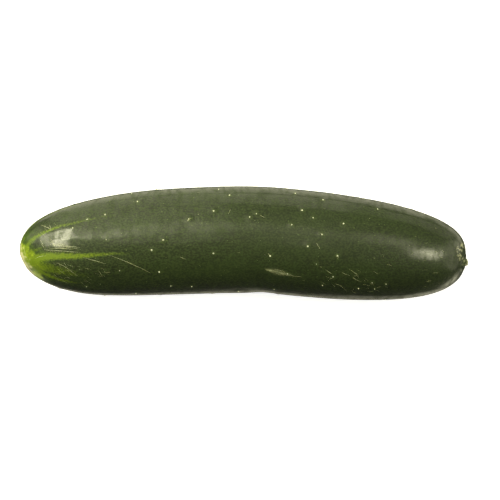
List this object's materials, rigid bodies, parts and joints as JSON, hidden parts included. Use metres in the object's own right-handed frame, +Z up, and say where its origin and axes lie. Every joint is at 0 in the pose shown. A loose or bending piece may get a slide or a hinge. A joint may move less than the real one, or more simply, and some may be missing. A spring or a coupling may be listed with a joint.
{
  "type": "cucumber",
  "caption": "Fresh slicing cucumber, whole and slightly bowed, lying on its side with a torn stalk end and small spine stumps.",
  "frame": {"origin": "middle of the underside of the fruit's box, on the surface that it lies on", "axes": "+X along the fruit from the blossom end to the stalk end, +Z up, and the fruit bows towards +Y"},
  "size_m": [0.2092, 0.0526, 0.0496],
  "materials": {
    "skin": "satin",
    "cork": "matte"
  },
  "bodies": {
    "root": {"cucumber": "skin"}
  },
  "joints": []
}
